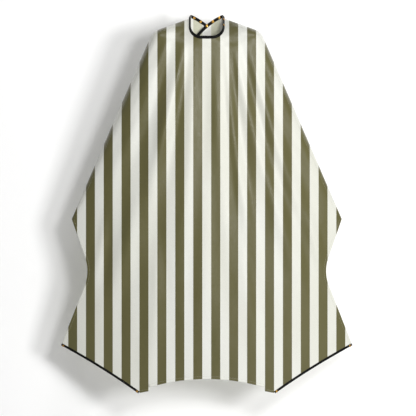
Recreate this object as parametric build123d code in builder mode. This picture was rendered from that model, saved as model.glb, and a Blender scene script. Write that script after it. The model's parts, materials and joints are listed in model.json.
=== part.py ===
from build123d import *
from math import asin, atan2, cos, degrees, radians, sin, sqrt
import os

# Barber cape, hung by its neck opening: striped cloth, black binding and brass press studs.
# Millimetres, +Z up. The wearer faces -Y, and left and right are the wearer's, so left is +X.
# The origin is the middle of the neck opening. Points are (x, z) unless three values are given.

# Cloth
CLOTH = 1.0                      # thickness of the cloth solids
FRONT_Y = -70.0                  # the front panel's most forward line
BOW_RADIUS = 1486.0              # the front panel bows round the chest and legs
BACK_Y = 45.0                    # inner face of the cloth behind the shoulders

# Front outline, left half
NECK_SIDE = (73.0, 34.0)
SHOULDER = (216.0, -19.0)
SHOULDER_ROUND = 50.0
SIDE_TIP = (541.0, -768.0)
NOTCH = (467.0, -980.0)
NOTCH_ROUND = 160.0
LOW_CORNER = (584.0, -1274.0)
TRIM_END = (273.0, -1463.0)
TRIM_SAG = -6.0                  # the bottom corner's edge curves in by this much
TAB_X = 231.0                    # inner side of the tab beside the hem
TAB_Z = -1455.0
HEM_SIDE_Z = -1440.0
HEM_MID_Z = -1406.0

# Neck opening: its edge lies in a plane that falls from the back to the front
NECK_FRONT_Z = -37.0             # top edge of the binding at the front
NECK_HALF = 64.0
NECK_LONG = 155.0                # along the slope
NECK_ROUND = 32.0
NECK_SLOPE = 36.87               # degrees; the binding flares out by the same angle
BIND_WIDE = 12.0
BIND_THICK = 2.5
BIND_OVER = 1.0                  # how far it stands past the cloth's cut edge
NECK_CUT_HALF = 73.0             # the front panel's cut under the binding
NECK_CUT_Z = -40.0
NECK_CUT_ROUND = 30.0
RING_END_Y = 42.0                # where the ring stops, short of the back flaps

# Back flaps, each hinged on the straight line where the cloth folds, left side
HINGE_TOP = (66.0, 44.0)
HINGE_GAP = 0.4
FLAP_TIP_GAP = 15.0              # the flap stops this far above the side tip
NECK_EDGE = ((57.0, 48.0), (0.0, 12.0), (-58.0, -53.0))
FLAP_END = (-70.0, -230.0)
FLAP_LOW = (439.0, -728.0)

# Shoulder slope: the flat that falls from the shoulder to the front of the neck
SLOPE_OUT = 190.0                # how far out along the shoulder it runs

# Bottom corner binding
TRIM_WIDE = 8.0
TRIM_OVER = 1.0                  # how far it stands past the cloth's edge

# Press studs at the neck, and the smaller ones at the bottom corners
CAP_RADIUS = 6.25
CAP_HIGH = 1.9
POST_RADIUS = 1.2
STUD_BASE = 0.8
STUD_BASE_RADIUS = 5.2
STUD_NECK = 1.3
STUD_HEAD = 1.8
STUD_HEAD_HIGH = 0.85
STUD_HIGH = 3.5
SOCKET_RADIUS = 5.6
SOCKET_HIGH = 3.0
SOCKET_MOUTH = 2.3
SOCKET_CAVITY = 3.0
SOCKET_PLATE = 0.6
SOCKET_LIP = 0.4
SPRING_RADIUS = 0.25
SPRING_OFF = 1.95                # each spring wire's distance from the middle
SPRING_LONG = 6.0
SNAP_GAP = 0.7                   # between a closed socket and the stud's base
SNAP_PITCH = 30.0                # along the back flaps' neck edges
RING_SNAPS = (120.0, 80.0)       # up the slope from the front of the neck
CORNER_SCALE = 0.72              # the corner snaps' size against the neck's
CORNER_IN = 9.0                  # from the ends of the corner binding

# Worked out from the above
BOW_Y = FRONT_Y + BOW_RADIUS
DEEP = 400.0                     # longer than the cape is deep, for cuts right through it
TALL = 2000.0                    # taller than the cape, from below its lowest point
HINGE_Y = BACK_Y + CLOTH         # the hinges run in the cloth's outer face
BIND_PROUD = (BIND_THICK - CLOTH) / 2
LAYER_GAP = BIND_THICK + SOCKET_HIGH + STUD_BASE + SNAP_GAP


def mirror_x(points):
    """The same points on the other side, in reverse order."""
    return [(-x, z) for x, z in reversed(points)]


def bow_y(x, depth=0.0):
    """Y of the front panel's front face, or of a surface that lies depth behind it."""
    return BOW_Y - sqrt((BOW_RADIUS - depth) ** 2 - x ** 2)


def hinge_run():
    """Direction of the left hinge line, from the neck down to the side tip."""
    return (Vector(*SIDE_TIP) - Vector(*HINGE_TOP)).normalized()


def hinge_distance(point, side):
    """How far a point of a back flap lies from its hinge line."""
    run = hinge_run()
    across = Vector(side * point[0] - HINGE_TOP[0], point[1] - HINGE_TOP[1])
    return across.X * run.Y - across.Y * run.X


def hinge_axis(side):
    """The line that a back flap turns on, from the neck to the side tip."""
    top = Vector(side * HINGE_TOP[0], HINGE_Y, HINGE_TOP[1])
    tip = Vector(side * SIDE_TIP[0], HINGE_Y, SIDE_TIP[1])
    return Axis(top, tip - top)


def finish(builder, name):
    """Name a finished piece and write it."""
    builder.part.label = name
    export_step(builder.part, f"parts/{name}.step")
    print(f"{name}: {len(builder.part.solids())} solid(s), {builder.part.volume / 1000:.2f} cm3")


def front_outline(side):
    """One half's edge points of the front panel, from the neck down to the side notch."""
    points = [NECK_SIDE, SHOULDER, SIDE_TIP, NOTCH, LOW_CORNER]
    return [(side * x, z) for x, z in points]


def slope_points(side):
    """Corners of the shoulder slope: front of the neck, back of the neck, out on the shoulder."""
    fall = (SHOULDER[1] - NECK_SIDE[1]) / (SHOULDER[0] - NECK_SIDE[0])
    out_z = NECK_SIDE[1] + fall * (SLOPE_OUT - NECK_SIDE[0])
    low = NECK_FRONT_Z - BIND_WIDE
    return (
        Vector(side * NECK_SIDE[0], bow_y(NECK_SIDE[0]), low),
        Vector(side * NECK_SIDE[0], BACK_Y - 2 * CLOTH, NECK_SIDE[1]),
        Vector(side * SLOPE_OUT, bow_y(SLOPE_OUT), out_z),
    )


def slope_plane(side):
    """Plane through the three corners of the shoulder slope, facing out of the cape."""
    front, back, out = slope_points(side)
    normal = (back - front).cross(out - front)
    if normal.Z < 0:
        normal = -normal
    return Plane(origin=front, x_dir=back - front, z_dir=normal)


def slope_corners(side):
    """The shoulder slope's three corners in its own plane."""
    plane = slope_plane(side)
    corners = [plane.to_local_coords(corner) for corner in slope_points(side)]
    return [(corner.X, corner.Y) for corner in corners]


def cloth_edge(side):
    """A back flap's neck edge as the cloth is cut, just inside its binding."""
    keep = 1 - BIND_OVER / neck_arc.radius
    middle = neck_arc.arc_center
    points = [middle + (Vector(*point) - middle) * keep for point in NECK_EDGE]
    return [(side * point.X, point.Y) for point in points]


def flap_points(side):
    """A back flap's outline clear of its hinge line, up to the start of its neck edge."""
    run = hinge_run()
    inward = Vector(run.Y, -run.X) * HINGE_GAP
    top = Vector(*HINGE_TOP) + inward
    low = Vector(*SIDE_TIP) + inward - run * FLAP_TIP_GAP
    points = [FLAP_END, FLAP_LOW, (low.X, low.Y), (top.X, top.Y)]
    return [(side * x, z) for x, z in points] + [cloth_edge(side)[0]]


def crossing_point(line, other):
    """Where two lines cross, each given by two points."""
    along = line[1] - line[0]
    across = other[1] - other[0]
    reach = other[0] - line[0]
    share = (reach.X * across.Y - reach.Y * across.X) / (along.X * across.Y - along.Y * across.X)
    return line[0] + along * share


def yoke_points(side):
    """The cloth between the shoulder's edge and the hinge line of a back flap."""
    run = hinge_run()
    start = Vector(*HINGE_TOP) + Vector(-run.Y, run.X) * HINGE_GAP
    fold = (start, start + run)
    neck, corner, tip = (Vector(*point) for point in (NECK_SIDE, SHOULDER, SIDE_TIP))
    ends = (crossing_point(fold, (neck, corner)), corner, crossing_point(fold, (corner, tip)))
    points = [(side * point.X, point.Y) for point in ends]
    return points if side > 0 else points[::-1]


def flap_plane(side, tuck):
    """Outer face of a back flap, facing the neck, tucked in about its hinge by tuck degrees."""
    axis = hinge_axis(side)
    turned = -side * tuck
    turn = Axis((0, 0, 0), axis.direction)
    middle = Vector(0, HINGE_Y, 0)
    return Plane(
        origin=axis.position + (middle - axis.position).rotate(turn, turned),
        x_dir=Vector(1, 0, 0).rotate(turn, turned),
        z_dir=Vector(0, -1, 0).rotate(turn, turned),
    )


def neck_plane(drop):
    """Plane of the neck opening, lowered at right angles to itself."""
    up = Vector(0, -sin(radians(NECK_SLOPE)), cos(radians(NECK_SLOPE)))
    origin = Vector(0, FRONT_Y, NECK_FRONT_Z) - up * drop
    return Plane(origin=origin, x_dir=(1, 0, 0), z_dir=up)


def ring_snap_plane(up_slope):
    """Middle of the ring's left side, facing the wearer's neck."""
    plane = neck_plane(0)
    flare = radians(NECK_SLOPE)
    down = plane.x_dir * sin(flare) - plane.z_dir * cos(flare)
    edge = plane.origin + plane.x_dir * NECK_HALF + plane.y_dir * up_slope
    inward = plane.y_dir.cross(down)
    return Plane(origin=edge + down * (BIND_WIDE / 2), x_dir=plane.y_dir, z_dir=inward)


def flap_snap_planes(side, tuck, facing):
    """Three places along a back flap's neck binding, from the crossing up towards the side."""
    middle = neck_arc.arc_center
    radius = neck_arc.radius - BIND_WIDE / 2
    crossing = sqrt(radius ** 2 - middle.X ** 2)
    base = flap_plane(side, tuck)
    planes = []
    for step in range(3):
        angle = atan2(crossing, -middle.X) - step * SNAP_PITCH / radius
        x = side * (middle.X + radius * cos(angle))
        z = middle.Y + radius * sin(angle)
        origin = base.from_local_coords(Vector(x, z, CLOTH / 2))
        planes.append(Plane(origin=origin, x_dir=base.x_dir, z_dir=base.z_dir * facing))
    return planes


def corner_snap_plane(side, end, inner):
    """Middle of a bottom corner's binding near one of its ends, facing the front."""
    inward = (inner - end).normalized()
    across = Vector(side * trim_out.X, trim_out.Y)
    spot = end + inward * CORNER_IN - across * (TRIM_WIDE / 2 - TRIM_OVER)
    middle = BOW_RADIUS - CLOTH / 2
    front = Vector(spot.X, bow_y(spot.X, CLOTH / 2) - BOW_Y, 0) / middle
    return Plane(origin=(spot.X, bow_y(spot.X, CLOTH / 2), spot.Y), x_dir=(0, 0, 1), z_dir=front)


os.makedirs("parts", exist_ok=True)
neck_arc = ThreePointArc(*NECK_EDGE)

# ---- Front panel: one bowed sheet, cut round the neck ------------------------------------
trim_mid = Vector((LOW_CORNER[0] + TRIM_END[0]) / 2, (LOW_CORNER[1] + TRIM_END[1]) / 2)
trim_run = Vector(TRIM_END[0] - LOW_CORNER[0], TRIM_END[1] - LOW_CORNER[1]).normalized()
trim_out = Vector(-trim_run.Y, trim_run.X)
trim_bend = trim_mid + trim_out * TRIM_SAG

with BuildPart() as front_panel:
    with BuildSketch(Plane.XZ.offset(-DEEP / 2)) as outline:
        with BuildLine():
            Polyline(mirror_x(front_outline(1)) + front_outline(1))
            for side in (1, -1):
                ThreePointArc(
                    (side * LOW_CORNER[0], LOW_CORNER[1]),
                    (side * trim_bend.X, trim_bend.Y),
                    (side * TRIM_END[0], TRIM_END[1]),
                )
                Polyline(
                    (side * TRIM_END[0], TRIM_END[1]),
                    (side * TAB_X, TAB_Z),
                    (side * TAB_X, HEM_SIDE_Z),
                )
            ThreePointArc((TAB_X, HEM_SIDE_Z), (0, HEM_MID_Z), (-TAB_X, HEM_SIDE_Z))
        make_face()
        for corner, radius in ((SHOULDER, SHOULDER_ROUND), (NOTCH, NOTCH_ROUND)):
            rounded = [
                vertex for vertex in outline.vertices()
                if abs(abs(vertex.X) - corner[0]) < 1 and abs(vertex.Y - corner[1]) < 1
            ]
            fillet(rounded, radius=radius)
    extrude(amount=DEEP)
    with BuildSketch(Plane.XZ.offset(-DEEP / 2)) as neck_cut:
        with Locations((0, NECK_CUT_Z + DEEP / 2)):
            Rectangle(2 * NECK_CUT_HALF, DEEP)
        fillet(neck_cut.vertices().group_by(Axis.Y)[0], radius=NECK_CUT_ROUND)
    extrude(amount=DEEP, mode=Mode.SUBTRACT)
    for side in (1, -1):
        with BuildSketch(slope_plane(side)):
            Polygon(*slope_corners(side), align=None)
        extrude(amount=DEEP / 4, mode=Mode.SUBTRACT)
    with BuildSketch(Plane.XY.offset(-0.8 * TALL)):
        with Locations((0, BOW_Y)):
            Circle(BOW_RADIUS)
            Circle(BOW_RADIUS - CLOTH, mode=Mode.SUBTRACT)
    extrude(amount=TALL, mode=Mode.INTERSECT)

# ---- Cloth that folds over the shoulders and down the sides ------------------------------
for side, hand in ((1, "left"), (-1, "right")):
    with BuildPart() as shoulder_fold:
        with BuildSketch(Plane.XZ.offset(-BACK_Y)):
            with BuildLine():
                FilletPolyline(
                    *[(side * x, z) for x, z in (NECK_SIDE, SHOULDER, SIDE_TIP)],
                    radius=SHOULDER_ROUND,
                )
                offset(amount=CLOTH, side=Side.RIGHT if side > 0 else Side.LEFT)
            make_face()
        extrude(amount=DEEP / 2)
        with BuildSketch(Plane.XY.offset(-0.8 * TALL)):
            with Locations((0, BOW_Y)):
                Circle(BOW_RADIUS - CLOTH)
        extrude(amount=TALL, mode=Mode.INTERSECT)
        with BuildSketch(slope_plane(side)):
            Polygon(*slope_corners(side), align=None)
        extrude(amount=DEEP / 4, mode=Mode.SUBTRACT)
    finish(shoulder_fold, f"{hand}_shoulder_fold")

    with BuildPart() as shoulder_slope:
        with BuildSketch(slope_plane(side)):
            Polygon(*slope_corners(side), align=None)
        extrude(amount=-CLOTH)
        add(shoulder_fold.part, mode=Mode.SUBTRACT)
        add(front_panel.part, mode=Mode.SUBTRACT)
    finish(shoulder_slope, f"{hand}_shoulder_slope")

    with BuildPart() as back_yoke:
        with BuildSketch(Plane.XZ.offset(-BACK_Y)) as yoke_outline:
            Polygon(*yoke_points(side), align=None)
            shoulder_corner = [v for v in yoke_outline.vertices() if abs(v.Y - SHOULDER[1]) < 1]
            fillet(shoulder_corner, radius=SHOULDER_ROUND)
        extrude(amount=-CLOTH)
    finish(back_yoke, f"{hand}_back_yoke")

# ---- Press stud pieces, made once: the cap faces +Z and the binding's middle is z = 0 -----
SKIN = BIND_THICK / 2
with BuildPart() as cap:
    with BuildSketch(Plane.XZ):
        with BuildLine():
            Polyline(
                (0, SKIN + CAP_HIGH),
                (0, -SKIN),
                (POST_RADIUS, -SKIN),
                (POST_RADIUS, SKIN),
                (CAP_RADIUS, SKIN),
                (CAP_RADIUS, SKIN + CAP_HIGH / 4),
            )
            TangentArc(
                (0, SKIN + CAP_HIGH), (CAP_RADIUS, SKIN + CAP_HIGH / 4), tangent=(1, 0)
            )
        make_face()
    revolve(axis=Axis.Z)

with BuildPart() as stud:
    head_start = STUD_HIGH - STUD_HEAD_HIGH
    with BuildSketch(Plane.XZ):
        Polygon(
            (0, -SKIN),
            (STUD_BASE_RADIUS, -SKIN),
            (STUD_BASE_RADIUS, -SKIN - STUD_BASE),
            (STUD_NECK, -SKIN - STUD_BASE),
            (STUD_NECK, -SKIN - head_start),
            (STUD_HEAD, -SKIN - head_start),
            (STUD_HEAD, -SKIN - STUD_HIGH + STUD_HEAD_HIGH / 2),
            (STUD_NECK, -SKIN - STUD_HIGH),
            (0, -SKIN - STUD_HIGH),
            align=None,
        )
    revolve(axis=Axis.Z)

spring_z = -SKIN - SOCKET_HIGH + SOCKET_LIP + SPRING_RADIUS
with BuildPart() as spring:
    for off in (-SPRING_OFF, SPRING_OFF):
        with BuildSketch(Plane(origin=(-SPRING_LONG / 2, off, spring_z), z_dir=(1, 0, 0))):
            Circle(SPRING_RADIUS)
        extrude(amount=SPRING_LONG)

with BuildPart() as socket:
    with BuildSketch(Plane.XZ):
        Polygon(
            (0, -SKIN),
            (SOCKET_RADIUS, -SKIN),
            (SOCKET_RADIUS, -SKIN - SOCKET_HIGH * 0.7),
            (SOCKET_RADIUS - SOCKET_HIGH * 0.3, -SKIN - SOCKET_HIGH),
            (SOCKET_MOUTH, -SKIN - SOCKET_HIGH),
            (SOCKET_MOUTH, -SKIN - SOCKET_HIGH + SOCKET_LIP),
            (SOCKET_CAVITY, -SKIN - SOCKET_HIGH + SOCKET_LIP),
            (SOCKET_CAVITY, -SKIN - SOCKET_PLATE),
            (0, -SKIN - SOCKET_PLATE),
            align=None,
        )
    revolve(axis=Axis.Z)
    add(spring.part, mode=Mode.SUBTRACT)

# ---- Back flaps: the wearer's right one closes over the left one --------------------------
crossing = Vector(0, NECK_EDGE[1][1] - BIND_WIDE / 2)
tuck_angle = degrees(asin(LAYER_GAP / hinge_distance((crossing.X, crossing.Y), 1)))
print(f"the left flap tucks in by {tuck_angle:.2f} degrees")
for side, hand, tuck, facing in ((1, "left", tuck_angle, 1), (-1, "right", 0, -1)):
    snap_planes = flap_snap_planes(side, tuck, facing)
    edge_points = [(side * x, z) for x, z in NECK_EDGE]
    with BuildPart() as back_flap:
        with BuildSketch(flap_plane(side, tuck)):
            with BuildLine():
                Polyline(*flap_points(side))
                ThreePointArc(*cloth_edge(side))
                Line(cloth_edge(side)[2], (side * FLAP_END[0], FLAP_END[1]))
            make_face()
        extrude(amount=CLOTH)
    with BuildPart() as flap_caps:
        add([plane.location * cap.part for plane in snap_planes])
    with BuildPart() as flap_binding:
        with BuildSketch(flap_plane(side, tuck).offset(-BIND_PROUD)):
            with BuildLine():
                ThreePointArc(*edge_points)
                offset(amount=BIND_WIDE, side=Side.LEFT if side > 0 else Side.RIGHT)
            make_face()
        extrude(amount=BIND_THICK)
        add(back_flap.part, mode=Mode.SUBTRACT)
        add(flap_caps.part, mode=Mode.SUBTRACT)
    with BuildPart() as pierced_flap:
        add(back_flap.part)
        add(flap_caps.part, mode=Mode.SUBTRACT)
    finish(pierced_flap, f"{hand}_back_flap")
    finish(flap_binding, f"{hand}_neck_binding")
    finish(flap_caps, f"{hand}_flap_caps")
    half = stud if side > 0 else socket
    with BuildPart() as flap_halves:
        add([plane.location * half.part for plane in snap_planes])
    finish(flap_halves, "left_flap_studs" if side > 0 else "right_flap_sockets")
    if side < 0:
        with BuildPart() as flap_springs:
            add([plane.location * spring.part for plane in snap_planes])
        finish(flap_springs, "right_flap_springs")

# ---- Neck binding on the front and the sides, and its two studs ---------------------------
flare_down = BIND_WIDE * cos(radians(NECK_SLOPE))
flare_out = BIND_WIDE * sin(radians(NECK_SLOPE))
ring_planes = [ring_snap_plane(up_slope) for up_slope in RING_SNAPS]
with BuildPart() as ring_caps:
    add([plane.location * cap.part for plane in ring_planes])
with BuildPart() as neck_binding:
    for skin, mode in ((BIND_THICK / 2, Mode.ADD), (-BIND_THICK / 2, Mode.SUBTRACT)):
        for drop, flare in ((0, 0), (flare_down, flare_out)):
            grow = skin + flare
            with BuildSketch(neck_plane(drop)):
                with Locations((0, NECK_LONG / 2)):
                    RectangleRounded(
                        2 * (NECK_HALF + grow), NECK_LONG + 2 * grow, NECK_ROUND + grow
                    )
        loft(ruled=True, mode=mode)
    with BuildSketch(Plane.XZ.offset(-RING_END_Y)):
        Rectangle(DEEP, DEEP)
    extrude(amount=DEEP / 2, mode=Mode.INTERSECT)
    add(front_panel.part, mode=Mode.SUBTRACT)
    add(ring_caps.part, mode=Mode.SUBTRACT)
finish(neck_binding, "neck_binding")
finish(ring_caps, "side_caps")
with BuildPart() as ring_studs:
    add([plane.location * stud.part for plane in ring_planes])
finish(ring_studs, "side_studs")

# ---- Bottom corner bindings and their snaps -----------------------------------------------
small_cap = scale(cap.part, by=CORNER_SCALE, mode=Mode.PRIVATE)
small_stud = scale(stud.part, by=CORNER_SCALE, mode=Mode.PRIVATE)
small_socket = scale(socket.part, by=CORNER_SCALE, mode=Mode.PRIVATE)
outer_planes = []
inner_planes = []
for side in (1, -1):
    outer = Vector(side * LOW_CORNER[0], LOW_CORNER[1])
    inner = Vector(side * TRIM_END[0], TRIM_END[1])
    outer_planes.append(corner_snap_plane(side, outer, inner))
    inner_planes.append(corner_snap_plane(side, inner, outer))
with BuildPart() as corner_caps:
    add([plane.location * small_cap for plane in outer_planes + inner_planes])
finish(corner_caps, "corner_caps")
with BuildPart() as corner_studs:
    add([plane.location * small_stud for plane in outer_planes])
finish(corner_studs, "corner_studs")
with BuildPart() as corner_sockets:
    add([plane.location * small_socket for plane in inner_planes])
finish(corner_sockets, "corner_sockets")

for side, hand in ((1, "left"), (-1, "right")):
    out = Vector(side * trim_out.X, trim_out.Y) * TRIM_OVER
    outer = Vector(side * LOW_CORNER[0], LOW_CORNER[1]) + out
    bend = Vector(side * trim_bend.X, trim_bend.Y) + out
    inner = Vector(side * TRIM_END[0], TRIM_END[1]) + out
    with BuildPart() as corner_binding:
        with BuildSketch(Plane.XZ.offset(-DEEP / 2)):
            with BuildLine():
                ThreePointArc(outer, bend, inner)
                offset(amount=TRIM_WIDE, side=Side.RIGHT if side > 0 else Side.LEFT)
            make_face()
        extrude(amount=DEEP)
        with BuildSketch(Plane.XY.offset(-0.8 * TALL)):
            with Locations((0, BOW_Y)):
                Circle(BOW_RADIUS + BIND_PROUD)
                Circle(BOW_RADIUS - CLOTH - BIND_PROUD, mode=Mode.SUBTRACT)
        extrude(amount=TALL, mode=Mode.INTERSECT)
        for piece in (front_panel, corner_caps, corner_studs, corner_sockets):
            add(piece.part, mode=Mode.SUBTRACT)
    finish(corner_binding, f"{hand}_corner_binding")

with BuildPart() as pierced_panel:
    add(front_panel.part)
    add(corner_caps.part, mode=Mode.SUBTRACT)
finish(pierced_panel, "front_panel")
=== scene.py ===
import json
import math

import bmesh
import bpy
import numpy as np
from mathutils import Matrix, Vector, noise
from mathutils.geometry import delaunay_2d_cdt

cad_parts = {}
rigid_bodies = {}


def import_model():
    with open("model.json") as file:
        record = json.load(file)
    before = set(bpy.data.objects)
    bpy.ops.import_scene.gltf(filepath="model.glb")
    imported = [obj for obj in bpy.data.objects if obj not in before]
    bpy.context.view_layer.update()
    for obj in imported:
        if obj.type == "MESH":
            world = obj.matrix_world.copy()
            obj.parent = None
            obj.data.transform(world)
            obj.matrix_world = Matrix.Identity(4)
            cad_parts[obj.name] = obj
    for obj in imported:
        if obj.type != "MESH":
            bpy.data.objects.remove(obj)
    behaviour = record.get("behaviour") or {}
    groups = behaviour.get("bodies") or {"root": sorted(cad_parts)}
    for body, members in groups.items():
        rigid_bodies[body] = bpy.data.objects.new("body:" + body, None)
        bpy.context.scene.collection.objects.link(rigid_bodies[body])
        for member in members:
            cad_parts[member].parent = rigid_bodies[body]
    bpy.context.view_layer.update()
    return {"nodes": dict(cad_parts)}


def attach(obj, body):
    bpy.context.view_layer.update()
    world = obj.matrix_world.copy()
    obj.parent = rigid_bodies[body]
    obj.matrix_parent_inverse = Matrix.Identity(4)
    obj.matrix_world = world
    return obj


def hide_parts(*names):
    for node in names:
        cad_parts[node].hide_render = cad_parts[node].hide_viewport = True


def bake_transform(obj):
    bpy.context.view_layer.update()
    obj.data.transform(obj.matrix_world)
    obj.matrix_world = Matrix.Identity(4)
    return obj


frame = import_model()

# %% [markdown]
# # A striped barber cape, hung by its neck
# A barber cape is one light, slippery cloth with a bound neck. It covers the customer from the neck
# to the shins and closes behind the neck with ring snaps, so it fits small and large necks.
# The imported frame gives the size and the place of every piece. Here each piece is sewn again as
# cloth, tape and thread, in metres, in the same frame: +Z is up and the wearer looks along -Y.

# %% [markdown]
# ## The camera
# A long lens from far away flattens the view, as a shop picture of hung cloth does. The camera
# stands at mid height, so that the stripes stay upright and even from side to side.

# %% Camera
CAMERA_AWAY = 20.0
camera_data = bpy.data.cameras.new("shop_camera")
camera_data.sensor_width = 36.0
camera_data.lens = 432.7
camera = bpy.data.objects.new("shop_camera", camera_data)
camera.location = (0.005, -CAMERA_AWAY, -0.724)
camera.rotation_euler = (math.radians(90), 0, 0)
bpy.context.collection.objects.link(camera)
bpy.context.scene.camera = camera
bpy.context.scene.view_settings.view_transform = "Standard"
view_wide = camera_data.sensor_width / camera_data.lens * CAMERA_AWAY
print("the view is", round(view_wide, 3), "m wide at the cape")

# %% [markdown]
# ## Colours
# Colours are written as they look on a screen, from 0 to 255, because that is how a dyer's sample
# is compared. Shaders work in linear light, so each one is converted first.

# %% Colour helper
def colour(red, green, blue):
    """A screen colour as the linear colour that a shader takes."""
    linear = []
    for value in (red, green, blue):
        share = value / 255
        linear.append(share / 12.92 if share <= 0.04045 else ((share + 0.055) / 1.055) ** 2.4)
    return (*linear, 1.0)


OLIVE = colour(86, 82, 45)
OLIVE_WORN = colour(94, 90, 54)
WHITE = colour(221, 222, 216)
WHITE_WARM = colour(213, 213, 202)
# the inside's colours: the paler reverse of the cloth, lightened further as painted light for the shaded
# inside
OLIVE_REVERSE_PAINTED_LIGHT = colour(206, 206, 184)
WHITE_REVERSE_PAINTED_LIGHT = colour(238, 238, 231)
# painted shade: the dark tone laid into the gaps between the satin's threads
GAP_SHADE_PAINTED = colour(60, 60, 42)
BLACK_TAPE = colour(2, 2, 2)
print("olive in linear light:", [round(v, 3) for v in OLIVE[:3]])

# %% [markdown]
# ## Shader parts that several finishes share
# Cloth and tape are both woven, and cloth, tape and metal all have patches that are a little
# lighter or duller. Each effect is a node group with named inputs, built once and placed in each
# material with its own numbers. A group puts out masks and heights only.

# %% Node group helpers
def new_group(name, inputs, outputs):
    """An empty shader group with named sockets."""
    tree = bpy.data.node_groups.new(name, "ShaderNodeTree")
    for socket_name, kind, default in inputs:
        socket = tree.interface.new_socket(socket_name, in_out="INPUT", socket_type=kind)
        if default is not None:
            socket.default_value = default
    for socket_name, kind in outputs:
        tree.interface.new_socket(socket_name, in_out="OUTPUT", socket_type=kind)
    return tree, tree.nodes.new("NodeGroupInput"), tree.nodes.new("NodeGroupOutput")


def math_node(tree, operation, first, second=None):
    """A Math node whose inputs are sockets or numbers."""
    node = tree.nodes.new("ShaderNodeMath")
    node.operation = operation
    for socket, value in zip(node.inputs, (first, second)):
        if value is None:
            continue
        if hasattr(value, "is_output"):
            tree.links.new(value, socket)
        else:
            socket.default_value = value
    return node.outputs[0]


def ranged(tree, value, low, high, to_low=0.0, to_high=1.0, smooth=True):
    """A value carried from one range to another, held at the ends."""
    node = tree.nodes.new("ShaderNodeMapRange")
    node.interpolation_type = "SMOOTHSTEP" if smooth else "LINEAR"
    tree.links.new(value, node.inputs["Value"])
    for name, number in zip(("From Min", "From Max", "To Min", "To Max"), (low, high, to_low, to_high)):
        node.inputs[name].default_value = number
    return node.outputs["Result"]


def mixed(tree, share, first, second):
    """A colour between two others. Each is a socket or a colour."""
    node = tree.nodes.new("ShaderNodeMix")
    node.data_type = "RGBA"
    pairs = ((node.inputs["Factor"], share), (node.inputs[6], first), (node.inputs[7], second))
    for socket, value in pairs:
        if hasattr(value, "is_output"):
            tree.links.new(value, socket)
        else:
            socket.default_value = value
    return node.outputs[2]


print("helpers ready")

# %% Woven threads: rows of thread crossing at right angles
FLOAT, VECTOR = "NodeSocketFloat", "NodeSocketVector"
weave, weave_in, weave_out = new_group(
    "woven_threads",
    [("Place", VECTOR, None), ("Threads per metre", FLOAT, 1500.0), ("Slant", FLOAT, 1.0)],
    [("Height", FLOAT), ("Gap", FLOAT)],
)
split = weave.nodes.new("ShaderNodeSeparateXYZ")
weave.links.new(weave_in.outputs["Place"], split.inputs[0])
count = weave_in.outputs["Threads per metre"]
turns = [math_node(weave, "MULTIPLY", split.outputs[i], count) for i in (0, 1)]
leaning = math_node(weave, "MULTIPLY", turns[1], weave_in.outputs["Slant"])
warp = math_node(weave, "SINE", math_node(weave, "MULTIPLY", turns[0], math.tau))
twill_turn = math_node(weave, "ADD", turns[0], leaning)
twill = math_node(weave, "SINE", math_node(weave, "MULTIPLY", twill_turn, math.pi))
raised_warp = math_node(weave, "ADD", warp, 1.2)
raised_twill = math_node(weave, "ADD", twill, 1.4)
woven = math_node(weave, "MULTIPLY", raised_warp, raised_twill)
height = math_node(weave, "MULTIPLY", woven, 0.19)
weave.links.new(height, weave_out.inputs["Height"])
weave.links.new(ranged(weave, height, 0.25, 0.0), weave_out.inputs["Gap"])
print("group woven_threads:", len(weave.nodes), "nodes")

# %% Patches: large soft areas that are a little different, with a finer grain inside
patches, patches_in, patches_out = new_group(
    "soft_patches",
    [("Place", VECTOR, None), ("Scale", FLOAT, 8.0), ("Stretch", FLOAT, 1.0)],
    [("Broad", FLOAT), ("Fine", FLOAT)],
)
stretched = patches.nodes.new("ShaderNodeVectorMath")
stretched.operation = "MULTIPLY"
combine = patches.nodes.new("ShaderNodeCombineXYZ")
combine.inputs[0].default_value = 1.0
combine.inputs[2].default_value = 1.0
patches.links.new(patches_in.outputs["Stretch"], combine.inputs[1])
patches.links.new(patches_in.outputs["Place"], stretched.inputs[0])
patches.links.new(combine.outputs[0], stretched.inputs[1])
for output, factor, detail in (("Broad", 1.0, 2.0), ("Fine", 14.0, 4.0)):
    cloud = patches.nodes.new("ShaderNodeTexNoise")
    cloud.inputs["Detail"].default_value = detail
    patches.links.new(stretched.outputs[0], cloud.inputs["Vector"])
    scaled = math_node(patches, "MULTIPLY", patches_in.outputs["Scale"], factor)
    patches.links.new(scaled, cloud.inputs["Scale"])
    patches.links.new(ranged(patches, cloud.outputs["Fac"], 0.32, 0.68), patches_out.inputs[output])
print("group soft_patches:", len(patches.nodes), "nodes")

# %% [markdown]
# ## The striped satin
# The cloth is a light polyester satin with olive and white stripes of the same width, woven in.
# The stripes follow the cloth, so they are drawn from its own UV map, which holds where each point
# lay on the flat cloth in metres. The outside is glossy and the inside is paler and duller, so
# each side has its own material. The inside's colours are the paler reverse of the cloth, made
# lighter still as painted light, since the inside hangs in the cape's shade. The weave is fine, so
# it goes into the bump and the roughness, and into the colour as painted shade between threads.

# %% Cloth materials
STRIPE = 0.0358


def group_node(tree, group, place, **numbers):
    """A shared group placed in a material, with its own numbers."""
    node = tree.nodes.new("ShaderNodeGroup")
    node.node_tree = group
    tree.links.new(place, node.inputs["Place"])
    for name, value in numbers.items():
        node.inputs[name.replace("_", " ")].default_value = value
    return node


def new_material(name, place="UV"):
    """A material with its Principled shader and the coordinates that its pattern follows."""
    material = bpy.data.materials.new(name)
    material.use_nodes = True
    tree = material.node_tree
    shader = tree.nodes["Principled BSDF"]
    coordinates = tree.nodes.new("ShaderNodeTexCoord")
    return material, tree, shader, coordinates.outputs[place]


def add_bump(tree, shader, height, distance, strength=1.0):
    """Relief from a height, in metres."""
    bump = tree.nodes.new("ShaderNodeBump")
    bump.inputs["Distance"].default_value = distance
    bump.inputs["Strength"].default_value = strength
    tree.links.new(height, bump.inputs["Height"])
    tree.links.new(bump.outputs["Normal"], shader.inputs["Normal"])


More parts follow.
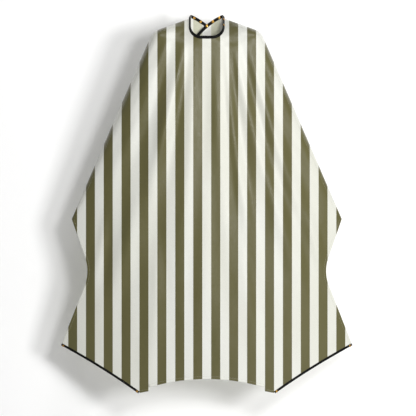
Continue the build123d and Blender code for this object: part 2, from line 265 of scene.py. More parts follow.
def striped_satin(name, olive, olive_worn, white, white_worn, gloss, sheen):
    """The woven stripes, olive and white, each a stripe wide, with a white one on the middle line, and
    painted shade in the gaps between threads.
    """
    material, tree, shader, place = new_material(name)
    soft = group_node(tree, patches, place, Scale=3.0, Stretch=0.35)
    threads = group_node(tree, weave, place, Threads_per_metre=1600.0, Slant=1.0)
    axes = tree.nodes.new("ShaderNodeSeparateXYZ")
    tree.links.new(place, axes.inputs[0])
    shifted = math_node(tree, "ADD", math_node(tree, "DIVIDE", axes.outputs[0], 2 * STRIPE), 0.5)
    centred = math_node(tree, "SUBTRACT", math_node(tree, "FRACT", shifted), 0.5)
    from_middle = math_node(tree, "ABSOLUTE", centred)
    fray = math_node(tree, "MULTIPLY", threads.outputs["Height"], 0.004)
    frayed = math_node(tree, "ADD", from_middle, fray)
    dyed = ranged(tree, frayed, 0.246, 0.252)
    from_line = math_node(tree, "ABSOLUTE", math_node(tree, "SUBTRACT", from_middle, 0.262))
    line = ranged(tree, from_line, 0.014, 0.004)
    olive_now = mixed(tree, soft.outputs["Broad"], olive, olive_worn)
    white_now = mixed(tree, soft.outputs["Broad"], white, white_worn)
    cloth = mixed(tree, dyed, white_now, olive_now)
    edged = mixed(tree, math_node(tree, "MULTIPLY", line, 0.25), cloth, olive_worn)
    # painted shade: the weave's gaps are darkened toward a dark olive
    shaded = math_node(tree, "MULTIPLY", threads.outputs["Gap"], 0.22)
    with_painted_gap_shade = mixed(tree, shaded, edged, GAP_SHADE_PAINTED)
    tree.links.new(with_painted_gap_shade, shader.inputs["Base Color"])
    dull = math_node(tree, "ADD", gloss, math_node(tree, "MULTIPLY", soft.outputs["Fine"], 0.09))
    dull = math_node(tree, "ADD", dull, math_node(tree, "MULTIPLY", threads.outputs["Gap"], 0.10))
    tree.links.new(dull, shader.inputs["Roughness"])
    shader.inputs["Specular IOR Level"].default_value = 0.55
    shader.inputs["Sheen Weight"].default_value = sheen
    shader.inputs["Sheen Roughness"].default_value = 0.35
    add_bump(tree, shader, threads.outputs["Height"], 0.00012, 0.6)
    return material


satin = striped_satin("satin_outside", OLIVE, OLIVE_WORN, WHITE, WHITE_WARM, 0.30, 0.2)
# inside material: paler reverse side plus painted light, since the inside hangs in the cape's shade
satin_reverse_painted_light = striped_satin("satin_inside_painted_light", OLIVE_REVERSE_PAINTED_LIGHT, OLIVE_REVERSE_PAINTED_LIGHT, WHITE_REVERSE_PAINTED_LIGHT, WHITE_REVERSE_PAINTED_LIGHT, 0.55, 0.1)
print("a white stripe is", STRIPE * 1000, "mm wide, and so is an olive one")

# %% [markdown]
# ## Tape, thread and metal
# The neck and the lower corners are bound with black bias tape, a plain ribbed weave with a faint
# shine and a painted highlight on its raised threads. Thread is a twisted cord, so a fine slanted
# stripe runs round it, painted lighter on the plies and darker in the grooves. The snaps are plated
# brass, a little darker in patches where fingers have dulled them.

# %% Tape and thread materials
def woven_tape(name, base, lighter, threads_per_metre):
    """Ribbed bias tape, lighter in random patches, with a painted highlight on its raised threads."""
    material, tree, shader, place = new_material(name)
    threads = group_node(tree, weave, place, Threads_per_metre=threads_per_metre, Slant=-1.0)
    soft = group_node(tree, patches, place, Scale=40.0, Stretch=1.0)
    # random lighter patches, plus a painted highlight on the raised threads
    patches_and_painted_rib_highlight = math_node(tree, "MULTIPLY", soft.outputs["Broad"], 0.5)
    patches_and_painted_rib_highlight = math_node(tree, "ADD", patches_and_painted_rib_highlight, math_node(tree, "MULTIPLY", threads.outputs["Height"], 0.4))
    tree.links.new(mixed(tree, patches_and_painted_rib_highlight, base, lighter), shader.inputs["Base Color"])
    rough = math_node(tree, "ADD", 0.5, math_node(tree, "MULTIPLY", soft.outputs["Fine"], 0.2))
    tree.links.new(rough, shader.inputs["Roughness"])
    shader.inputs["Specular IOR Level"].default_value = 0.18
    shader.inputs["Sheen Weight"].default_value = 0.03
    add_bump(tree, shader, threads.outputs["Height"], 0.0002, 0.9)
    return material


def twisted_thread(name, base, lighter):
    """Sewing thread, two plies twisted together, with painted light on the plies and painted shade in the
    grooves between them.
    """
    material, tree, shader, place = new_material(name, "Object")
    twist = tree.nodes.new("ShaderNodeTexWave")
    twist.wave_type = "BANDS"
    twist.bands_direction = "DIAGONAL"
    twist.inputs["Scale"].default_value = 900.0
    tree.links.new(place, twist.inputs["Vector"])
    # painted light and shade: lighter where the plies stand up, darker in the grooves
    tree.links.new(mixed(tree, twist.outputs["Fac"], base, lighter), shader.inputs["Base Color"])
    rough = ranged(tree, twist.outputs["Fac"], 0.0, 1.0, 0.62, 0.42)
    tree.links.new(rough, shader.inputs["Roughness"])
    add_bump(tree, shader, twist.outputs["Fac"], 0.0001, 0.7)
    return material


black_tape = woven_tape("black_bias_tape", BLACK_TAPE, colour(9, 9, 9), 1400.0)
black_thread = twisted_thread("black_thread", colour(8, 8, 8), colour(24, 24, 24))
pale_thread = twisted_thread("pale_thread", colour(158, 158, 134), colour(190, 190, 172))
print("thread materials:", black_thread.name, pale_thread.name)

# %% Metal materials
def worn_metal(name, base, dulled, smooth, rough):
    """Plated metal with duller patches."""
    material, tree, shader, place = new_material(name, "Object")
    soft = group_node(tree, patches, place, Scale=160.0, Stretch=1.0)
    tree.links.new(mixed(tree, soft.outputs["Broad"], base, dulled), shader.inputs["Base Color"])
    tree.links.new(
        ranged(tree, soft.outputs["Broad"], 0.0, 1.0, smooth, rough), shader.inputs["Roughness"]
    )
    shader.inputs["Metallic"].default_value = 1.0
    add_bump(tree, shader, soft.outputs["Fine"], 0.00005, 0.5)
    return material


brass = worn_metal("snap_brass", colour(206, 160, 78), colour(172, 126, 54), 0.24, 0.42)
spring_metal = worn_metal("spring_bronze", colour(200, 150, 110), colour(160, 120, 90), 0.25, 0.45)
snap_nodes = [
    "side_caps", "side_studs", "left_flap_caps", "left_flap_studs",
    "right_flap_caps", "right_flap_sockets", "corner_caps", "corner_studs", "corner_sockets",
]
for name in snap_nodes + ["right_flap_springs"]:
    node = frame["nodes"][name]
    finish = spring_metal if "spring" in name else brass
    node.data.materials.clear()
    node.data.materials.append(finish)
print("snap parts with their finish:", len(snap_nodes) + 1)

# %% [markdown]
# ## The pattern of the cape
# A maker starts from the flat pattern. These are the corners of half the cape, across and up in
# metres, measured from the middle of the neck. The other half mirrors them. The front hangs
# bowed round the chest, as part of a very large cylinder, and the back hangs in one upright plane.

# %% Pattern sizes
MM = 0.001
CLOTH = 1.0 * MM
BOW_RADIUS = 1.486
BOW_Y = 1.416
BACK_Y = 0.046
NECK_SIDE = (0.073, 0.034)
SHOULDER = (0.216, -0.019)
SHOULDER_ROUND = 0.050
SIDE_TIP = (0.541, -0.768)
NOTCH = (0.467, -0.980)
NOTCH_ROUND = 0.160
LOW_CORNER = (0.584, -1.274)
TRIM_END = (0.273, -1.463)
TRIM_SAG = -0.006
TAB_X = 0.231
TAB_Z = -1.455
HEM_SIDE_Z = -1.440
HEM_MID_Z = -1.406
HINGE_TOP = (0.066, 0.044)
NECK_EDGE = ((0.057, 0.048), (0.0, 0.012), (-0.058, -0.053))
FLAP_END = (-0.070, -0.230)
FLAP_LOW = (0.439, -0.728)
FLAP_TIP = (0.528, -0.757)
TUCK_DEEP = 0.0070
TUCK_REACH = 0.0762
TUCK = math.asin(TUCK_DEEP / TUCK_REACH)  # turns the inner flap in until it clears the outer one
STEP = 0.008
FINE = 0.006
FORWARD = (0, -1, 0)
BACKWARD = (0, 1, 0)


def three_point_arc(first, middle, last, step=STEP):
    """Points of the arc through three points, in order."""
    (ax, az), (bx, bz), (cx, cz) = first, middle, last
    d = 2 * (ax * (bz - cz) + bx * (cz - az) + cx * (az - bz))
    a2, b2, c2 = ax * ax + az * az, bx * bx + bz * bz, cx * cx + cz * cz
    ux = (a2 * (bz - cz) + b2 * (cz - az) + c2 * (az - bz)) / d
    uz = (a2 * (cx - bx) + b2 * (ax - cx) + c2 * (bx - ax)) / d
    radius = math.hypot(ax - ux, az - uz)
    start, mid, end = (math.atan2(z - uz, x - ux) for x, z in (first, middle, last))
    mid += math.tau * round((start - mid) / math.tau)
    end += math.tau * round((mid - end) / math.tau)
    number = max(4, round(radius * abs(end - start) / step))
    angles = np.linspace(start, end, number + 1)
    points = np.stack([ux + radius * np.cos(angles), uz + radius * np.sin(angles)], 1)
    return points, np.array((ux, uz)), radius


def rounded_corner(before, corner, after, radius, step=STEP):
    """Points of the arc that rounds a corner."""
    before, corner, after = (np.array(p, float) for p in (before, corner, after))
    back = (before - corner) / np.linalg.norm(before - corner)
    ahead = (after - corner) / np.linalg.norm(after - corner)
    half = math.acos(np.clip(back @ ahead, -1, 1)) / 2
    middle = (back + ahead) / np.linalg.norm(back + ahead)
    centre = corner + middle * radius / math.sin(half)
    reach = radius / math.tan(half)
    return three_point_arc(corner + back * reach, centre - middle * radius, corner + ahead * reach, step)[0]


def walked(points, step=STEP):
    """A line of points with more added, so that none are further apart than step."""
    points = np.array(points, float)
    out = [points[:1]]
    for start, end in zip(points[:-1], points[1:]):
        number = max(1, math.ceil(np.linalg.norm(end - start) / step))
        shares = np.linspace(0, 1, number + 1)[1:, None]
        out.append(start + (end - start) * shares)
    return np.concatenate(out)


def trim_line(step=STEP):
    """The slanting edge of the left lower corner, which curves in a little."""
    middle = (np.array(LOW_CORNER) + TRIM_END) / 2
    run = (np.array(TRIM_END) - LOW_CORNER) / np.linalg.norm(np.array(TRIM_END) - LOW_CORNER)
    out = np.array((-run[1], run[0]))
    return three_point_arc(LOW_CORNER, middle + out * TRIM_SAG, TRIM_END, step)[0]


def run_lengths(line):
    """How far along a line each of its points is."""
    return np.concatenate([[0], np.cumsum(np.linalg.norm(np.diff(line, axis=0), axis=1))])


trim_arc = trim_line()
shoulder_arc = rounded_corner(NECK_SIDE, SHOULDER, SIDE_TIP, SHOULDER_ROUND)
notch_arc = rounded_corner(SIDE_TIP, NOTCH, LOW_CORNER, NOTCH_ROUND)
hem_arc = three_point_arc((TAB_X, HEM_SIDE_Z), (0, HEM_MID_Z), (-TAB_X, HEM_SIDE_Z))[0]
upper_edge = walked([NECK_SIDE, *shoulder_arc, SIDE_TIP])
lower_edge = walked([SIDE_TIP, *notch_arc, LOW_CORNER])
print("half the shoulder and side line is", round(float(run_lengths(upper_edge)[-1]), 3), "m long")

# %% [markdown]
# ## The neck's line
# The neck opening lies in a plane that falls from the back to the front. Its binding is a rounded
# U that stands on the cloth like a low collar and flares outward. One function gives any point of
# it: how far along the U, and how far down from its top edge.

# %% Neck line
NECK_FRONT_Y = -0.070
NECK_FRONT_Z = -0.037
SLOPE_COS = 0.8
SLOPE_SIN = 0.6
NECK_HALF = 0.064
NECK_TURN = (0.020, 0.072)
NECK_REACH = 0.137
BIND_WIDE = 0.012
BIND_THICK = 2.5 * MM
FLARE = 0.6
DROP = 0.8


def neck_stations(step=0.003):
    """Places along the top of the neck binding, in its plane, with the outward direction at each."""
    half = [((NECK_HALF, t), (1, 0)) for t in np.arange(NECK_REACH, NECK_TURN[1], -step)]
    wide, deep = NECK_HALF - NECK_TURN[0], NECK_TURN[1]
    for a in np.linspace(0, math.pi / 2, 31):
        spot = (NECK_TURN[0] + wide * math.cos(a), deep - deep * math.sin(a))
        out = np.array((math.cos(a) / wide, -math.sin(a) / deep))
        half.append((spot, tuple(out / np.linalg.norm(out))))
    half += [((x, 0), (0, -1)) for x in np.arange(NECK_TURN[0] - step, 0, -step)]
    other = [((-x, t), (-nx, nt)) for (x, t), (nx, nt) in reversed(half)]
    stations = half + [((0, 0), (0, -1))] + other
    return np.array([s[0] for s in stations]), np.array([s[1] for s in stations], float)


neck_spots, neck_outward = neck_stations()


def neck_point(down):
    """The neck binding's line at a distance down from its top edge, as (x, y, z)."""
    flat = neck_spots + neck_outward * FLARE * down
    drop = DROP * down
    y = NECK_FRONT_Y + SLOPE_COS * flat[:, 1] + SLOPE_SIN * drop
    z = NECK_FRONT_Z + SLOPE_SIN * flat[:, 1] - SLOPE_COS * drop
    return np.stack([flat[:, 0], y, z], 1)


neck_sewn = neck_point(BIND_WIDE - MM)
print("the neck binding is", round(float(run_lengths(neck_point(0))[-1]), 3), "m round")

# %% [markdown]
# ## How the cloth hangs
# The front's shape is a height over the flat pattern. It follows the bow of the body, rises as a
# slope to the back of the neck, and rolls over the shoulders and sides to the back. On top of this
# come soft folds that start at the neck and the shoulders and run down and outward, as light cloth
# does when it hangs from its neck. Each fold is a ridge along a line, highest in its middle.

# %% Distances
def distance_to_line(points, line):
    """How far each point is from a line of points, and the number of the nearest one."""
    best = np.full(len(points), 1e9)
    nearest = np.zeros(len(points), int)
    for i, (a, b) in enumerate(zip(line[:-1], line[1:])):
        along = b - a
        share = np.clip(((points - a) @ along) / max(along @ along, 1e-12), 0, 1)
        gap = np.linalg.norm(points - a - share[:, None] * along, axis=1)
        closer = gap < best
        best[closer] = gap[closer]
        nearest[closer] = i + (share[closer] > 0.5)
    return best, nearest


def smooth(value, low, high):
    """0 below low, 1 above high, and a smooth rise between them."""
    share = np.clip((value - low) / (high - low), 0, 1)
    return share * share * (3 - 2 * share)


chest_gap = distance_to_line(np.array([[0, -0.1]]), upper_edge)[0][0]
print("the middle of the chest is", round(float(chest_gap), 3), "m from the shoulder line")

# %% Folds of the front
FOLD_SCALE = 0.85
FOLD_BEND = 0.02
AWAY_FROM_NECK = 0.361  # how fast the cloth comes forward with distance from the neck
FRONT_FOLDS = (
    # from x, z; to x, z; half width; height towards the viewer
    (-0.085, -0.03, -0.225, -0.62, 0.026, 0.010),
    (-0.150, -0.02, -0.430, -0.70, 0.030, 0.013),
    (-0.120, -0.10, -0.330, -1.05, 0.034, 0.011),
    (-0.050, -0.10, -0.150, -1.20, 0.036, 0.009),
    (-0.200, -0.10, -0.390, -0.50, 0.020, 0.006),
    (-0.260, -0.60, -0.430, -1.20, 0.040, 0.010),
    (0.045, -0.08, 0.110, -1.15, 0.034, 0.009),
    (0.075, -0.06, 0.205, -1.02, 0.022, 0.010),
    (0.100, -0.02, 0.330, -0.90, 0.030, 0.012),
    (0.150, -0.02, 0.460, -0.95, 0.032, 0.013),
    (0.190, -0.08, 0.380, -0.52, 0.018, 0.006),
    (0.240, -0.55, 0.450, -1.22, 0.040, 0.010),
    (0.400, -0.70, 0.500, -1.10, 0.022, 0.006),
    (-0.400, -0.72, -0.480, -1.12, 0.024, 0.006),
    (0.000, -0.35, 0.020, -1.38, 0.045, 0.007),
    (0.140, -0.75, 0.210, -1.42, 0.030, 0.007),
    (-0.200, -0.80, -0.230, -1.42, 0.030, 0.006),
)


def ridge(points, fold):
    """The height of one fold at each point: a ridge with a shallower hollow beside it."""
    x0, z0, x1, z1, wide, high = fold
    start = np.array((x0, z0))
    run = np.array((x1, z1)) - start
    length = np.linalg.norm(run)
    run = run / length
    along = (points - start) @ run / length
    bend = FOLD_BEND * length * np.sin(np.clip(along, 0, 1) * math.pi) * (1 if x0 < 0 else -1)
    across = (points - start) @ np.array((-run[1], run[0])) - bend
    width = wide * (0.55 + 0.75 * np.clip(along, 0, 1))
    window = smooth(along, -0.05, 0.35) * (1 - smooth(along, 0.5, 1.12))
    share = across / width
    return FOLD_SCALE * high * window * (np.exp(-share ** 2) - 0.45 * np.exp(-(share - 1.7) ** 2))


def ripples(points, size, depth, seed):
    """Small uneven waves, longer down the cloth than across it."""
    return depth * np.array([
        noise.noise(Vector((x / size, z / (size * 3.2), seed))) for x, z in points
    ])


def front_flat_y(points):
    """The front without folds and its rolled edge, and each point's distance from the neck."""
    x = points[:, 0]
    bow = BOW_Y - np.sqrt(BOW_RADIUS ** 2 - x ** 2)
    gap, nearest = distance_to_line(points, neck_sewn[:, [0, 2]])
    slope = neck_sewn[nearest, 1] - AWAY_FROM_NECK * gap
    ease = np.minimum(0.012, 0.3 * gap + 0.0005)
    return 0.5 * (bow + slope + np.sqrt((bow - slope) ** 2 + ease ** 2)), gap


def roll_reach(y):
    """How far the roll reaches into the cloth, where the front lies at y."""
    return np.clip(0.7 * np.maximum(BACK_Y - y, 0.002), 0.003, 0.035)


def rolled(points, y):
    """The middle of the rolled edge, how far the cloth has come out of it, and the edge's distance."""
    folded = np.stack([np.abs(points[:, 0]), points[:, 1]], 1)
    gap = distance_to_line(folded, upper_edge)[0]
    share = np.clip(gap / roll_reach(y), 0, 1)
    return (y + BACK_Y) / 2, np.sqrt(np.clip(1 - (1 - share) ** 2, 0, 1)), gap


def front_y(points):
    """The outer face of the hung front at each point of the pattern."""
    points = np.asarray(points, float)
    flat, neck_gap = front_flat_y(points)
    middle, out, edge_gap = rolled(points, flat)
    folded = np.stack([np.abs(points[:, 0]), points[:, 1]], 1)
    trim_gap = distance_to_line(folded, trim_arc)[0]
    free = smooth(neck_gap, 0.002, 0.09) * smooth(edge_gap, 0.004, 0.06)
    free = free * smooth(trim_gap, 0.015, 0.14)
    folds = sum(ridge(points, fold) for fold in FRONT_FOLDS)
    folds = folds + ripples(points, 0.085, 0.0022, 3.0) + ripples(points, 0.03, 0.0005, 8.0)
    return middle - (middle - flat) * out - folds * free


def front_place(points):
    """Pattern points of the front, hung in space."""
    points = np.asarray(points, float)
    return np.stack([points[:, 0], front_y(points), points[:, 1]], 1)


print("front of the hem's middle, y:", round(float(front_y([(0, HEM_MID_Z)])[0]), 4))

# %% Folds of the back
hinge_run = (np.array(SIDE_TIP) - HINGE_TOP) / np.linalg.norm(np.array(SIDE_TIP) - HINGE_TOP)
HINGE_IN = np.array((hinge_run[1], -hinge_run[0]))
neck_edge_arc, neck_edge_centre, neck_edge_radius = three_point_arc(*NECK_EDGE)
BACK_FOLDS = (
    (0.050, -0.04, 0.230, -0.52, 0.030, 0.006),
    (0.000, -0.06, 0.120, -0.42, 0.024, 0.006),
    (-0.030, -0.10, 0.010, -0.30, 0.020, 0.005),
    (0.120, -0.12, 0.370, -0.66, 0.026, 0.005),
)


def back_place(points, side):
    """Pattern points of one half of the back, hung in space. The left half (side 1) tucks inside."""
    points = np.asarray(points, float)
    flat, _ = front_flat_y(points)
    middle, out, _ = rolled(points, flat)
    past = (points - HINGE_TOP) @ HINGE_IN
    bound = distance_to_line(points, neck_edge_arc)[0]
    free = smooth(past, 0.012, 0.07) * smooth(bound, 0.016, 0.11)
    folds = sum(ridge(points, fold) for fold in BACK_FOLDS) * free
    y = middle + (BACK_Y - middle) * np.where(past > -0.002, 1.0, out)
    turned = TUCK if side > 0 else 0.0
    inner = np.maximum(past, 0)
    y = y - inner * math.sin(turned) + folds * (1.0 if side < 0 else -0.6)
    shift = -inner * (1 - math.cos(turned))
    place = points + shift[:, None] * HINGE_IN
    return np.stack([side * place[:, 0], y, place[:, 1]], 1)


def back_side(side):
    """The placing function of one half of the back."""
    return lambda points: back_place(points, side)


print("the flaps' hinge line runs", [round(float(v), 3) for v in hinge_run])

# %% [markdown]
# ## Cutting the cloth
# Each panel is cut from the flat pattern: its outline is filled with small even triangles, then
# every point is hung in its place. Close to a rolled edge the rows of points come closer together,
# so that the roll stays round. A cloth has two faces, so each panel then gets its thickness, with
# the inside in its own paler material, made paler partly as painted light.

# %% Panel helper
def inside(points, outline):
    """Which points lie inside a closed outline."""
    x, z = points[:, 0], points[:, 1]
    result = np.zeros(len(points), bool)
    for (ax, az), (bx, bz) in zip(outline, np.roll(outline, -1, axis=0)):
        crosses = (az > z) != (bz > z)
        with np.errstate(divide="ignore", invalid="ignore"):
            at = ax + (z - az) / (bz - az) * (bx - ax)
        result ^= crosses & (x < at)
    return result


def without_repeats(points, gap=0.0006):
    """A closed outline with no two neighbours in the same place."""
    kept = [points[0]]
    for point in points[1:]:
        if np.linalg.norm(point - kept[-1]) > gap:
            kept.append(point)
    if np.linalg.norm(kept[0] - kept[-1]) <= gap:
        kept.pop()
    return np.array(kept)


def cut_panel(outline, rows, step=STEP, clear=0.005):
    """Triangles that fill an outline. rows are extra points, and clear keeps the grid off them."""
    outline = without_repeats(outline)
    low, high = outline.min(0), outline.max(0)
    across = np.arange(low[0], high[0] + step, step)
    up = np.arange(low[1], high[1] + step, step * 0.866)
    grid = np.array([(x + (step / 2 if i % 2 else 0), z) for i, z in enumerate(up) for x in across])
    grid = grid[inside(grid, outline)]
    closed = np.vstack([outline, outline[:1]])
    grid = grid[distance_to_line(grid, closed)[0] > step * 0.55]
    rows = rows[inside(rows, outline)]
    rows = rows[distance_to_line(rows, closed)[0] > 0.0008]
    keep = np.ones(len(grid), bool)
    for start in range(0, len(rows), 400):
        block = rows[start:start + 400]
        gaps = np.linalg.norm(grid[:, None, :] - block[None, :, :], axis=2).min(1)
        keep &= gaps > clear
    points = np.vstack([outline, rows, grid[keep]])
    count = len(outline)
    edges = [(i, (i + 1) % count) for i in range(count)]
    made = delaunay_2d_cdt([Vector(p) for p in points], edges, [], 1, 1e-7)
    flat = np.array([tuple(v) for v in made[0]])
    faces = [tuple(face) for face in made[2]]
    return flat, faces


def roll_rows(line):
    """Rows of points inside a rolled edge, closer together near the edge."""
    middle = (line[:-1] + line[1:]) / 2
    along = np.diff(line, axis=0)
    along = along / np.linalg.norm(along, axis=1)[:, None]
    inward = np.stack([along[:, 1], -along[:, 0]], 1)
    flat, _ = front_flat_y(middle)
    reach = roll_reach(flat)
    rows = []
    for angle in range(14, 85, 14):
        rows.append(middle + inward * (reach * (1 - math.cos(math.radians(angle))))[:, None])
    return np.concatenate(rows)


print("panel helpers ready")

# %% Thickness helper
def thick_cloth(name, flat, faces, place, outward, materials):
    """A mesh with both faces of the cloth and its cut edge, and the flat pattern as its UV map."""
    hung = place(flat)
    mesh = bpy.data.meshes.new(name)
    mesh.from_pydata([tuple(p) for p in hung], [], faces)
    mesh.update()
    mean = np.array([p.normal[:] for p in mesh.polygons]).mean(0)
    if np.dot(mean, outward) < 0:
        faces = [face[::-1] for face in faces]
        mesh.clear_geometry()
        mesh.from_pydata([tuple(p) for p in hung], [], faces)
        mesh.update()
    normals = np.array([v.normal[:] for v in mesh.vertices])
    inner = hung - normals * CLOTH
    count = len(hung)
    border = {}
    for face in faces:
        for a, b in zip(face, face[1:] + face[:1]):
            if (b, a) in border:
                del border[(b, a)]
            else:
                border[(a, b)] = True
    both = list(faces)
    both += [tuple(i + count for i in reversed(face)) for face in faces]
    both += [(b, a, a + count, b + count) for a, b in border]
    mesh.clear_geometry()
    mesh.from_pydata([tuple(p) for p in np.vstack([hung, inner])], [], both)
    mesh.update()
    layer = mesh.uv_layers.new(name="UVMap")
    corner = np.empty(len(mesh.loops), int)
    mesh.loops.foreach_get("vertex_index", corner)
    pattern = np.vstack([flat, flat])
    layer.data.foreach_set("uv", pattern[corner].ravel())
    for material in materials:
        mesh.materials.append(material)
    kinds = [0] * len(faces) + [1] * len(faces) + [0] * len(border)
    mesh.polygons.foreach_set("material_index", kinds)
    mesh.polygons.foreach_set("use_smooth", [True] * len(kinds))
    edge_keys = {tuple(sorted(key)) for key in border}
    edge_keys |= {(a + count, b + count) for a, b in edge_keys}
    sharp = [tuple(sorted(edge.vertices)) in edge_keys for edge in mesh.edges]
    mesh.attributes.new("sharp_edge", "BOOLEAN", "EDGE").data.foreach_set("value", sharp)
    piece = bpy.data.objects.new(name, mesh)
    bpy.context.collection.objects.link(piece)
    print(name, "has", sum(len(f) - 2 for f in both), "triangles")
    return piece


def surface_area(piece):
    """Area of one face of a thin closed cloth."""
    return sum(p.area for p in piece.data.polygons) / 2


print("thickness:", CLOTH * 1000, "mm")

# %% Front panel
left_half = np.vstack([
    upper_edge, lower_edge[1:], trim_arc[1:],
    walked([TRIM_END, (TAB_X, TAB_Z), (TAB_X, HEM_SIDE_Z)])[1:],
])
right_half = left_half[::-1] * (-1, 1)
front_outline = np.vstack([left_half, hem_arc[1:-1], right_half, neck_sewn[::-1][:, [0, 2]]])
left_rows = roll_rows(upper_edge)
front_rows = np.vstack([left_rows, left_rows * (-1, 1)])
front_pattern, front_faces = cut_panel(front_outline, front_rows)
front_cloth = thick_cloth(
    "front_cloth", front_pattern, front_faces, front_place, FORWARD, (satin, satin_reverse_painted_light)
)
print("the front cloth's area is", round(surface_area(front_cloth), 3), "m2")

# %% [markdown]
# ## The back
# Each half of the back starts at the rolled side and ends behind the neck. The wearer's right half
# is the outer one. A flap folds away along a straight line from the neck to the side, so rows of
# points run along that line, where the cloth has to turn sharply.

# %% Back halves
def back_outline():
    """The outline of the left back half, from the neck's edge round to the side and back."""
    inset = neck_edge_centre + (neck_edge_arc - neck_edge_centre) * (1 - 0.0015 / neck_edge_radius)
    low_hinge = np.array(SIDE_TIP) - hinge_run * 0.015 + HINGE_IN * 0.0004
    free = walked([inset[-1], FLAP_END, FLAP_LOW, low_hinge, SIDE_TIP])
    top = walked([NECK_SIDE, HINGE_TOP, inset[0]])
    return np.vstack([inset, free[1:], upper_edge[::-1][1:], top[1:-1]])


def mirror_uv(piece):
    """The other half's stripes, from the same pattern."""
    for corner in piece.data.uv_layers["UVMap"].data:
        corner.uv.x = -corner.uv.x


hinge_line = walked([HINGE_TOP, SIDE_TIP], FINE)
FOLD_OFFSETS = (-0.0045, -0.0025, -0.0005, 0.0015, 0.0035, 0.0055, 0.0075)
fold_rows = [hinge_line + HINGE_IN * offset for offset in FOLD_OFFSETS]
back_rows = np.vstack([roll_rows(upper_edge), *fold_rows])
back_pattern, back_faces = cut_panel(back_outline(), back_rows)
back_cloths = {}
for side, hand in ((1, "left"), (-1, "right")):
    cloth = thick_cloth(
        f"{hand}_back_cloth", back_pattern, back_faces,
        back_side(side), BACKWARD, (satin, satin_reverse_painted_light),
    )
    if side < 0:
        mirror_uv(cloth)
    back_cloths[hand] = cloth
    print(hand, "back half's area:", round(surface_area(cloth), 3), "m2")

# %% [markdown]
# ## Tape and hems
# A tape is folded over a cut edge and sewn through, so its section is a thin loop: round at the
# fold, puffy in the middle and pulled in under the stitches. A hem is the cloth's own edge turned
# over, flatter. Both are one section carried along a line, with the line's own directions.

# %% Section and sweep helpers
# Each point is a share of the width and a share of half the thickness, from the fold inward.
TAPE_SECTION = (
    (0.0, 0.0), (0.02, 0.5), (0.07, 0.85), (0.16, 1.0), (0.45, 1.08), (0.68, 1.0),
    (0.78, 0.7), (0.85, 0.68), (0.91, 0.92), (0.97, 0.8), (1.0, 0.4),
)
HEM_SECTION = (
    (0.0, 0.0), (0.02, 0.55), (0.06, 0.95), (0.4, 1.0), (0.74, 0.95), (0.82, 0.72),
    (0.88, 0.72), (0.93, 0.95), (0.98, 0.85), (1.0, 0.3),
)


def whole_section(half):
    """Both faces of a section, in order round it."""
    return list(half) + [(t, -h) for t, h in reversed(half[1:])]


def swept(name, rings, uvs, material):
    """A closed solid through rings of points, its ends closed, with its own UV map in metres."""
    rings = np.asarray(rings, float)
    count, around = rings.shape[:2]
    faces = []
    for i in range(count - 1):
        for j in range(around):
            k = (j + 1) % around
            faces.append((i * around + j, i * around + k, (i + 1) * around + k, (i + 1) * around + j))
    faces.append(tuple(reversed(range(around))))
    faces.append(tuple((count - 1) * around + j for j in range(around)))
    mesh = bpy.data.meshes.new(name)
    mesh.from_pydata([tuple(p) for p in rings.reshape(-1, 3)], [], faces)
    mesh.materials.append(material)
    corner = np.empty(len(mesh.loops), int)
    mesh.loops.foreach_get("vertex_index", corner)
    layer = mesh.uv_layers.new(name="UVMap")
    layer.data.foreach_set("uv", np.asarray(uvs, float).reshape(-1, 2)[corner].ravel())
    bm = bmesh.new()
    bm.from_mesh(mesh)
    bmesh.ops.recalc_face_normals(bm, faces=bm.faces)
    for face in bm.faces:
        face.smooth = len(face.verts) == 4
    bm.to_mesh(mesh)
    bm.free()
    piece = bpy.data.objects.new(name, mesh)
    bpy.context.collection.objects.link(piece)
    return piece


def unit(vectors):
    """Each vector at length 1."""
    return vectors / np.linalg.norm(vectors, axis=1)[:, None]


def tape(name, edge, across, facing, wide, thick, material):
    """Bias tape along an edge in space. across points into the cloth, facing out of it."""
    section = whole_section(TAPE_SECTION)
    along = run_lengths(edge)
    rings, uvs = [], []
    for i in range(len(edge)):
        rings.append([edge[i] + across[i] * t * wide + facing[i] * h * thick / 2 for t, h in section])
        uvs.append([(along[i], t * wide * (1 if h >= 0 else -1)) for t, h in section])
    return swept(name, rings, uvs, material)


def face_directions(place, points, outward):
    """The direction that the cloth faces at pattern points."""
    small = 0.002
    across = place(points + (small, 0)) - place(points - (small, 0))
    up = place(points + (0, small)) - place(points - (0, small))
    normal = unit(np.cross(across, up))
    flip = np.where(normal @ np.array(outward, float) < 0, -1.0, 1.0)
    return normal * flip[:, None]


def edge_inward(line, sign):
    """At each point of a pattern line, the direction at right angles to it, into the cloth."""
    along = unit(np.gradient(line, axis=0))
    return np.stack([along[:, 1], -along[:, 0]], 1) * sign


def ribbon(name, line, sign, place, outward, wide, thick, section, material, proud=0.0, striped=True):
    """A tape or hem that lies on the hung cloth along a line of its pattern."""
    inward = edge_inward(line, sign)
    middle = face_directions(place, line + inward * wide / 2, outward)
    levels = whole_section(section)
    spots = {t: line + inward * (t * wide - proud) for t, _ in levels}
    hung = {t: place(spots[t]) - middle * CLOTH / 2 for t in spots}
    along = run_lengths(line)
    rings = np.stack([hung[t] + middle * h * thick / 2 for t, h in levels], 1)
    if striped:
        uvs = np.stack([spots[t] for t, _ in levels], 1)
    else:
        widths = [t * wide * (1 if h >= 0 else -1) for t, h in levels]
        uvs = np.stack([np.stack([along, np.full(len(along), w)], 1) for w in widths], 1)
    return swept(name, rings, uvs, material)


print("a tape's section has", len(whole_section(TAPE_SECTION)), "points")

# %% Neck binding on the front and the sides
edge = neck_point(0)
across = unit(neck_point(BIND_WIDE) - edge)
running = unit(np.gradient(edge, axis=0))
facing = unit(np.cross(across, running))
neck_tape = tape("neck_tape", edge, across, facing, BIND_WIDE, BIND_THICK, black_tape)
print("neck tape:", len(edge), "stations")

